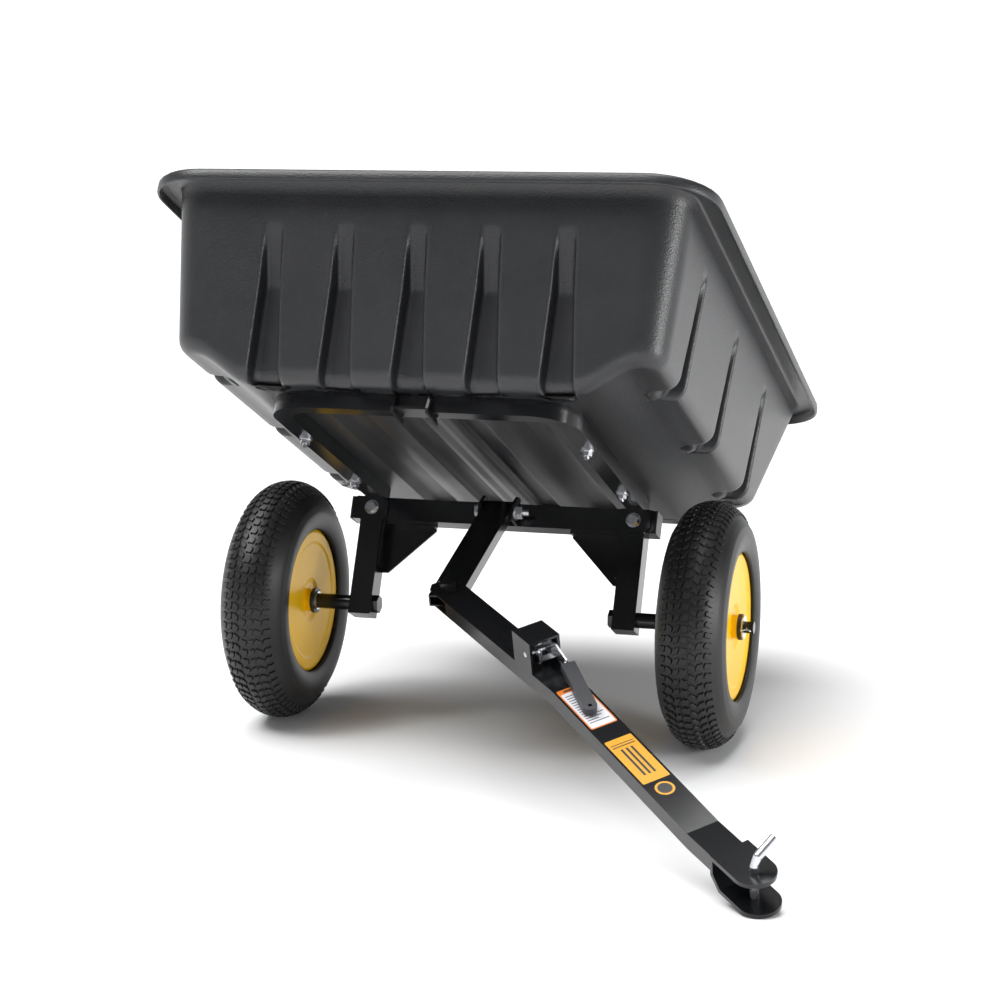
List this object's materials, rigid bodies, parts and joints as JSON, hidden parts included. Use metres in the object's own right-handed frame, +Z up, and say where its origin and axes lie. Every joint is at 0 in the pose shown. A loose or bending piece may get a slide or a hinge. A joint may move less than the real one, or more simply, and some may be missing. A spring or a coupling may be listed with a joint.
{
  "type": "tipping garden cart",
  "caption": "Tipping garden cart: black moulded tub on a steel frame, yellow-rimmed pneumatic wheels and a swivelling tow bar with a pin hitch.",
  "frame": {"origin": "on the ground, midway between the two wheels and below the axle line", "axes": "+Z up; -Y towards the tow bar at the front; +X to the right seen from the front, along the axle"},
  "size_m": [1.0559, 1.4795, 0.9312],
  "materials": {
    "tub_plastic": "matte, pebbled",
    "frame_paint": "satin powder coat",
    "zinc": "bright zinc plate",
    "yellow_paint": "gloss",
    "tyre_rubber": "matte, treaded",
    "black_plastic": "satin",
    "grip_vinyl": "satin vinyl"
  },
  "bodies": {
    "cart": {"tub": "tub_plastic", "hoop": "frame_paint", "hoop_catch": "frame_paint", "tub_bolts": "zinc", "tub_nuts": "zinc", "cross_beam": "frame_paint", "beam_caps": "black_plastic", "leg_left": "frame_paint", "leg_right": "frame_paint", "gusset_left": "frame_paint", "gusset_right": "frame_paint", "bracket_left": "frame_paint", "bracket_right": "frame_paint", "bracket_bolts": "zinc", "bracket_nuts": "zinc", "link_lugs": "frame_paint", "tip_bolt": "zinc", "tip_nut": "zinc", "axle_bolt_left": "frame_paint", "axle_bolt_right": "frame_paint", "spacer_left": "frame_paint", "spacer_right": "frame_paint", "axle_washers": "zinc", "cotter_pins": "zinc"},
    "wheel_left": {"tyre_left": "tyre_rubber", "rim_inner_left": "yellow_paint", "rim_outer_left": "yellow_paint", "hub_left": "yellow_paint", "bushes_left": "black_plastic", "valve_left": "grip_vinyl"},
    "wheel_right": {"tyre_right": "tyre_rubber", "rim_inner_right": "yellow_paint", "rim_outer_right": "yellow_paint", "hub_right": "yellow_paint", "bushes_right": "black_plastic", "valve_right": "grip_vinyl"},
    "link": {"link": "frame_paint", "link_bush": "zinc", "swivel_bolt": "frame_paint", "swivel_nut": "frame_paint"},
    "drawbar": {"drawbar": "frame_paint", "latch_box": "frame_paint", "latch_pivot": "zinc", "latch_spring": "zinc", "hitch_plate_top": "frame_paint", "hitch_plate_bottom": "frame_paint"},
    "lever": {"latch_lever": "zinc", "lever_grip": "grip_vinyl"},
    "pin": {"hitch_pin": "zinc"}
  },
  "joints": [
    {"name": "wheel_left_spin", "type": "hinge", "parent": "cart", "child": "wheel_left", "pos_m": [-0.362, 0, 0.2], "axis": [1, 0, 0], "continuous": true},
    {"name": "wheel_right_spin", "type": "hinge", "parent": "cart", "child": "wheel_right", "pos_m": [0.362, 0, 0.2], "axis": [1, 0, 0], "continuous": true},
    {"name": "tip", "type": "hinge", "parent": "cart", "child": "link", "pos_m": [0, 0.02967, 0.36223], "axis": [1, 0, 0], "range_deg": [-35.9, 40]},
    {"name": "swivel", "type": "hinge", "parent": "link", "child": "drawbar", "pos_m": [0, -0.23755, 0.27532], "axis": [0, -0.3093, 0.951], "range_deg": [-92.9, 3.1]},
    {"name": "latch_lever", "type": "hinge", "parent": "drawbar", "child": "lever", "pos_m": [0.20541, -0.44548, 0.24818], "axis": [-0.7083, -0.6713, -0.2183], "range_deg": [0, 32], "stiffness_Nm_per_rad": 1.2, "springref_deg": -20.05},
    {"name": "hitch_pin", "type": "slide", "parent": "drawbar", "child": "pin", "axis": [0.0345, -0.3418, 0.9391], "range_m": [0, 0.04]}
  ]
}
